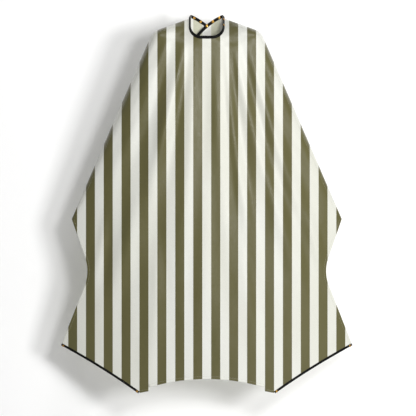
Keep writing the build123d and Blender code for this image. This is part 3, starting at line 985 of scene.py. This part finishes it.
# %% Bindings of the two flaps, from the ends of the neck's U down to behind the neck
def flap_tape_line(side):
    """The flap binding's edge, the direction into the cloth and the direction it faces."""
    arc = three_point_arc(*NECK_EDGE, step=0.003)[0]
    toward = unit(neck_edge_centre - arc)
    outer = back_place(arc, side)
    lower = back_place(arc + toward * BIND_WIDE, side)
    into = unit(lower - outer)
    run = unit(np.gradient(outer, axis=0))
    out = unit(np.cross(into, run))
    out = out * np.where(out[:, 1] < 0, -1.0, 1.0)[:, None]
    outer = outer - out * CLOTH / 2
    end = neck_point(0)[0] * (side, 1, 1)
    end_into = unit(neck_point(BIND_WIDE)[:1] - neck_point(0)[:1])[0] * (side, 1, 1)
    start_run = np.array((0, SLOPE_COS, SLOPE_SIN))
    lead, lead_into = [], []
    reach = 0.022
    for share in np.linspace(0, 1, 10)[:-1]:
        s2, s3 = share * share, share ** 3
        spot = (2 * s3 - 3 * s2 + 1) * end + (s3 - 2 * s2 + share) * start_run * reach
        spot = spot + (3 * s2 - 2 * s3) * outer[0] + (s3 - s2) * run[0] * reach
        lead.append(spot)
        lead_into.append((1 - share) * end_into + share * into[0])
    lead, lead_into = np.array(lead), unit(np.array(lead_into))
    line = np.vstack([lead, outer])
    into = np.vstack([lead_into, into])
    run = unit(np.gradient(line, axis=0))
    into = unit(into - run * (into * run).sum(1)[:, None])
    out = unit(np.cross(into, run))
    for i in range(len(out) - 1, 0, -1):
        if out[i] @ out[i - 1] < 0:
            out[i - 1] = -out[i - 1]
    return line, into, out


flap_tapes = {}
flap_lines = {}
for side, hand in ((1, "left"), (-1, "right")):
    line, into, out = flap_tape_line(side)
    flap_lines[hand] = (line, into, out)
    flap_tapes[hand] = tape(f"{hand}_flap_tape", line, into, out, BIND_WIDE, BIND_THICK, black_tape)
print("flap tape stations:", len(flap_lines["left"][0]))

# %% Bindings of the two lower corners
TRIM_WIDE = 0.0095
TRIM_STEP = 0.005
corner_tapes = {}
for side, hand in ((1, "left"), (-1, "right")):
    corner_tapes[hand] = ribbon(
        f"{hand}_corner_tape", trim_line(TRIM_STEP) * (side, 1), side, front_place, FORWARD,
        TRIM_WIDE, BIND_THICK, TAPE_SECTION, black_tape, proud=MM, striped=False,
    )
print("corner tapes:", sorted(corner_tapes))

# %% Hems of the front: both sides, the tabs and the bottom
HEM_WIDE = 0.010
HEM_THICK = 1.9 * MM
BOTTOM_WIDE = 0.012
TAB_WIDE = 0.008


def front_hem(name, line, side, wide=HEM_WIDE, thick=HEM_THICK):
    """A hem on the hung front."""
    return ribbon(name, line, side, front_place, FORWARD, wide, thick, HEM_SECTION, satin)


def side_line(side):
    """The cape's side below the side tip, round the notch."""
    notch = rounded_corner(SIDE_TIP, NOTCH, LOW_CORNER, NOTCH_ROUND, step=FINE)
    return walked([SIDE_TIP, *notch, LOW_CORNER], FINE)[1:-1] * (side, 1)


def tab_line(side):
    """The lower edge of the tab beside the bottom hem."""
    return walked([TRIM_END, (TAB_X, TAB_Z)], FINE)[1:] * (side, 1)


hems = []
for side, hand in ((1, "left"), (-1, "right")):
    hems.append(front_hem(f"{hand}_side_hem", side_line(side), side))
    hems.append(front_hem(f"{hand}_tab_hem", tab_line(side), side))
    rise = walked([(TAB_X, TAB_Z), (TAB_X, HEM_SIDE_Z)], 0.005) * (side, 1)
    hems.append(front_hem(f"{hand}_tab_side_hem", rise, side, TAB_WIDE, HEM_THICK - 0.2 * MM))
bottom_x = TAB_X - MM
bottom = three_point_arc((bottom_x, HEM_SIDE_Z), (0, HEM_MID_Z), (-bottom_x, HEM_SIDE_Z), FINE)[0]
hems.append(front_hem("bottom_hem", bottom, 1, BOTTOM_WIDE))
print("hem pieces on the front:", len(hems))

# %% Hems of the flaps' free edges
FLAP_EDGES = {
    "inner": (NECK_EDGE[2], FLAP_END),
    "low": (FLAP_END, FLAP_LOW),
    "outer": (FLAP_LOW, FLAP_TIP),
}
flap_hems = {"left": [], "right": []}
for side, hand in ((1, "left"), (-1, "right")):
    for part, ends in FLAP_EDGES.items():
        line = walked(ends, FINE)
        if part == "inner":
            line = line[2:]
        piece = ribbon(
            f"{hand}_flap_{part}_hem", line, -1, back_side(side), BACKWARD,
            HEM_WIDE, HEM_THICK, HEM_SECTION, satin,
        )
        if side < 0:
            mirror_uv(piece)
        flap_hems[hand].append(piece)
print("hem pieces on the flaps:", sum(len(v) for v in flap_hems.values()))

# %% [markdown]
# ## Stitches
# A row of stitches repeats one small shape along a line, so Geometry Nodes make it: the line is
# divided evenly, a short thread is set on each point along the line's direction, and the result
# becomes a plain mesh. The tree has named inputs for the sizes, so tape and hem can differ.

# %% The stitch tree
STITCH_SIDES = 6
STITCH_RINGS = 5


def stitch_tree():
    """A Geometry Nodes tree that sets a stitch at every pitch along the edges it is given."""
    tree = bpy.data.node_groups.new("stitch_row", "GeometryNodeTree")
    tree.interface.new_socket("Geometry", in_out="INPUT", socket_type="NodeSocketGeometry")
    for name, default in (("Pitch", 0.0032), ("Stitch length", 0.0024), ("Thread radius", 0.0003)):
        socket = tree.interface.new_socket(name, in_out="INPUT", socket_type="NodeSocketFloat")
        socket.default_value = default
    tree.interface.new_socket("Thread", in_out="INPUT", socket_type="NodeSocketMaterial")
    tree.interface.new_socket("Geometry", in_out="OUTPUT", socket_type="NodeSocketGeometry")
    new, link = tree.nodes.new, tree.links.new
    start, end = new("NodeGroupInput"), new("NodeGroupOutput")
    curve, even = new("GeometryNodeMeshToCurve"), new("GeometryNodeResampleCurve")
    even.mode = "LENGTH"
    ball, shaped = new("GeometryNodeMeshUVSphere"), new("GeometryNodeTransform")
    size = new("ShaderNodeCombineXYZ")
    ball.inputs["Segments"].default_value = STITCH_SIDES
    ball.inputs["Rings"].default_value = STITCH_RINGS
    ball.inputs["Radius"].default_value = 1.0
    half = new("ShaderNodeMath")
    half.operation = "MULTIPLY"
    half.inputs[1].default_value = 0.5
    link(start.outputs["Stitch length"], half.inputs[0])
    link(start.outputs["Thread radius"], size.inputs[0])
    link(start.outputs["Thread radius"], size.inputs[1])
    link(half.outputs[0], size.inputs[2])
    link(ball.outputs["Mesh"], shaped.inputs["Geometry"])
    link(size.outputs[0], shaped.inputs["Scale"])
    tangent, aim = new("GeometryNodeInputTangent"), new("FunctionNodeAlignEulerToVector")
    placed = new("GeometryNodeInstanceOnPoints")
    aim.axis = "Z"
    real, finish = new("GeometryNodeRealizeInstances"), new("GeometryNodeSetMaterial")
    link(start.outputs["Geometry"], curve.inputs["Mesh"])
    link(curve.outputs["Curve"], even.inputs["Curve"])
    link(start.outputs["Pitch"], even.inputs["Length"])
    link(tangent.outputs["Tangent"], aim.inputs["Vector"])
    link(even.outputs["Curve"], placed.inputs["Points"])
    link(shaped.outputs["Geometry"], placed.inputs["Instance"])
    link(aim.outputs["Rotation"], placed.inputs["Rotation"])
    link(placed.outputs["Instances"], real.inputs["Geometry"])
    link(real.outputs["Geometry"], finish.inputs["Geometry"])
    link(start.outputs["Thread"], finish.inputs["Material"])
    link(finish.outputs["Geometry"], end.inputs["Geometry"])
    return tree


STITCHES = stitch_tree()


def stitched(name, lines, thread, pitch=0.0032, length=0.0024, radius=0.0003):
    """One mesh of all the stitches along some lines in space."""
    points, edges = [], []
    for line in lines:
        first = len(points)
        points += [tuple(p) for p in line]
        edges += [(first + i, first + i + 1) for i in range(len(line) - 1)]
    guide_mesh = bpy.data.meshes.new(name + "_guide")
    guide_mesh.from_pydata(points, edges, [])
    guide = bpy.data.objects.new(name + "_guide", guide_mesh)
    bpy.context.collection.objects.link(guide)
    modifier = guide.modifiers.new("stitches", "NODES")
    modifier.node_group = STITCHES
    wanted = {"Pitch": pitch, "Stitch length": length, "Thread radius": radius, "Thread": thread}
    for item in STITCHES.interface.items_tree:
        if item.item_type == "SOCKET" and item.in_out == "INPUT" and item.name in wanted:
            modifier[item.identifier] = wanted[item.name]
    bpy.context.view_layer.update()
    evaluated = guide.evaluated_get(bpy.context.evaluated_depsgraph_get())
    mesh = bpy.data.meshes.new_from_object(evaluated)
    mesh.name = name
    guide.modifiers.clear()
    bpy.data.objects.remove(guide)
    bpy.data.meshes.remove(guide_mesh)
    mesh.shade_smooth()
    piece = bpy.data.objects.new(name, mesh)
    bpy.context.collection.objects.link(piece)
    print(name, "has", len(mesh.polygons) // (STITCH_SIDES * STITCH_RINGS), "stitches")
    return piece


# %% Stitch lines on the front
def on_cloth(line, sign, place, outward, inset, lift):
    """A line in space that runs at a distance inside a pattern line, on the cloth's face."""
    inward = edge_inward(line, sign)
    spots = line + inward * inset
    facing = face_directions(place, spots, outward)
    return place(spots) + facing * lift


SHOW = 0.0003
TAPE_SEWN = 0.82  # share of a tape's width where its stitches run
TRIM_SEWN = 0.7
TRIM_LIFT = 0.0006
HEM_SEWN = 0.85
SEAM_IN = 0.012
BLACK_STITCH = (0.0030, 0.0022, 0.00028)
tape_lift = BIND_THICK / 2 * 0.72 + 0.0001
black_lines = []
for face in (1, -1):
    black_lines.append(edge + across * BIND_WIDE * TAPE_SEWN + facing * tape_lift * face)
hem_lines = []
for side in (1, -1):
    trim = trim_line(TRIM_STEP) * (side, 1)
    black_lines.append(on_cloth(trim, side, front_place, FORWARD, TRIM_WIDE * TRIM_SEWN, TRIM_LIFT))
    for line in (side_line(side), tab_line(side)):
        hem_lines.append(on_cloth(line, side, front_place, FORWARD, HEM_WIDE * HEM_SEWN, SHOW))
    seam = walked([NECK_SIDE, *shoulder_arc, SIDE_TIP], FINE)[3:-4] * (side, 1)
    hem_lines.append(on_cloth(seam, side, front_place, FORWARD, SEAM_IN, SHOW * 0.5))
hem_lines.append(on_cloth(bottom, 1, front_place, FORWARD, BOTTOM_WIDE * HEM_SEWN, SHOW))
black_stitches = stitched("black_stitches", black_lines, black_thread, *BLACK_STITCH)
pale_stitches = stitched("pale_stitches", hem_lines, pale_thread)

# %% Stitch lines on the flaps
flap_stitches = {"left": [], "right": []}
for side, hand in ((1, "left"), (-1, "right")):
    line, into, out = flap_lines[hand]
    rows = [line + into * BIND_WIDE * TAPE_SEWN + out * tape_lift * face for face in (1, -1)]
    black = stitched(f"{hand}_flap_black_stitches", rows, black_thread, *BLACK_STITCH)
    rows = []
    for ends in FLAP_EDGES.values():
        line = walked(ends, FINE)[2:-1]
        for lift in (SHOW, -CLOTH - SHOW):
            rows.append(on_cloth(line, -1, back_side(side), BACKWARD, HEM_WIDE * HEM_SEWN, lift))
    pale = stitched(f"{hand}_flap_pale_stitches", rows, pale_thread)
    flap_stitches[hand] += [black, pale]
print("stitch pieces:", 2 + sum(len(v) for v in flap_stitches.values()))

# %% [markdown]
# ## What moves with what
# The front, its hems and the neck's U stay with the cape, on its root body. Each back half hangs
# bent where its flap folds; its cloth, tape, hems and stitches are fixed in place as they hang and
# are put on no body here.

# %% The root body's pieces, the back pieces fixed in place, and the frame's hidden parts
root_pieces = [front_cloth, neck_tape, *corner_tapes.values(), *hems, black_stitches, pale_stitches]
for piece in root_pieces:
    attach(piece, "root")
for side, hand in ((1, "left"), (-1, "right")):
    for piece in (back_cloths[hand], flap_tapes[hand], *flap_hems[hand], *flap_stitches[hand]):
        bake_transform(piece)
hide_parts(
    "front_panel", "left_shoulder_fold", "right_shoulder_fold",
    "left_shoulder_slope", "right_shoulder_slope",
)
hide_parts("neck_binding")
for hand in ("left", "right"):
    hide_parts(f"{hand}_back_flap", f"{hand}_back_yoke")
    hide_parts(f"{hand}_neck_binding")
    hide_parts(f"{hand}_corner_binding")
print("pieces on the root body:", len(root_pieces))

# %% [markdown]
# ## The studio
# The cape hangs in front of a white wall. A large soft lamp on the right lights the cloth and
# throws a soft shadow on the wall to the left. A smaller lamp nearer the middle gives the satin its
# shine, so the large one is hidden from reflections. The wall can't be seen from behind, so that
# the back of the cape can be, and it lets the rear lamp's light through.

# %% Wall, floor and light
def plain_sheet(name, corners, material):
    """A flat rectangle for the studio."""
    mesh = bpy.data.meshes.new(name)
    mesh.from_pydata(corners, [], [(0, 1, 2, 3)])
    mesh.materials.append(material)
    piece = bpy.data.objects.new(name, mesh)
    bpy.context.collection.objects.link(piece)
    return piece


wall_paint, tree, shader, place = new_material("wall_paint", "Object")
shader.inputs["Base Color"].default_value = (0.93, 0.93, 0.93, 1)
shader.inputs["Roughness"].default_value = 0.9
shader.inputs["Specular IOR Level"].default_value = 0.0
clear, choice = tree.nodes.new("ShaderNodeBsdfTransparent"), tree.nodes.new("ShaderNodeMixShader")
looked = tree.nodes.new("ShaderNodeNewGeometry")
ray = tree.nodes.new("ShaderNodeLightPath")
open_to = math_node(tree, "MAXIMUM", looked.outputs["Backfacing"], ray.outputs["Is Shadow Ray"])
tree.links.new(open_to, choice.inputs[0])
tree.links.new(shader.outputs[0], choice.inputs[1])
tree.links.new(clear.outputs[0], choice.inputs[2])
tree.links.new(choice.outputs[0], tree.nodes["Material Output"].inputs["Surface"])
floor_paint, _, floor_shader, _ = new_material("floor_paint", "Object")
floor_shader.inputs["Base Color"].default_value = (0.86, 0.86, 0.85, 1)
floor_shader.inputs["Roughness"].default_value = 0.8
WALL_Y = 0.20
WALL_HALF = 0.95
WALL_TOP = 0.3
FLOOR_Z = -2.2
plain_sheet(
    "wall",
    [
        (-WALL_HALF, WALL_Y, FLOOR_Z),
        (WALL_HALF, WALL_Y, FLOOR_Z),
        (WALL_HALF, WALL_Y, WALL_TOP),
        (-WALL_HALF, WALL_Y, WALL_TOP),
    ],
    wall_paint,
)
plain_sheet("floor", [(x, y, FLOOR_Z) for x, y in ((-4, -4), (4, -4), (4, 4), (-4, 4))], floor_paint)


def soft_lamp(name, place, aim, size, power):
    """A square soft lamp aimed at a point."""
    data = bpy.data.lights.new(name, "AREA")
    data.shape = "SQUARE"
    data.size = size
    data.energy = power
    lamp = bpy.data.objects.new(name, data)
    lamp.location = place
    lamp.rotation_euler = (Vector(aim) - Vector(place)).to_track_quat("-Z", "Y").to_euler()
    bpy.context.collection.objects.link(lamp)
    return lamp


key_lamp = soft_lamp("key_lamp", (4.5, -5.9, -0.3), (0, 0, -0.73), 1.7, 262)
key_lamp.visible_glossy = False
soft_lamp("shine_lamp", (1.4, -4.2, 0.35), (0, 0, -0.5), 0.9, 76)
soft_lamp("high_lamp", (0.5, -1.8, 2.6), (0, 0, -0.2), 1.4, 34)
soft_lamp("rear_lamp", (0.9, 5.0, 1.0), (0, 0, -0.7), 2.0, 75)
AIR_LIGHT = 0.28
AIR_SEEN = 0.90
world = bpy.data.worlds.new("studio_air")
bpy.context.scene.world = world
world.use_nodes = True
air = world.node_tree.nodes["Background"]
air.inputs["Color"].default_value = (1.0, 1.0, 1.0, 1)
seen = world.node_tree.nodes.new("ShaderNodeLightPath")
is_seen = seen.outputs["Is Camera Ray"]
strength = ranged(world.node_tree, is_seen, 0.0, 1.0, AIR_LIGHT, AIR_SEEN, smooth=False)
world.node_tree.links.new(strength, air.inputs["Strength"])
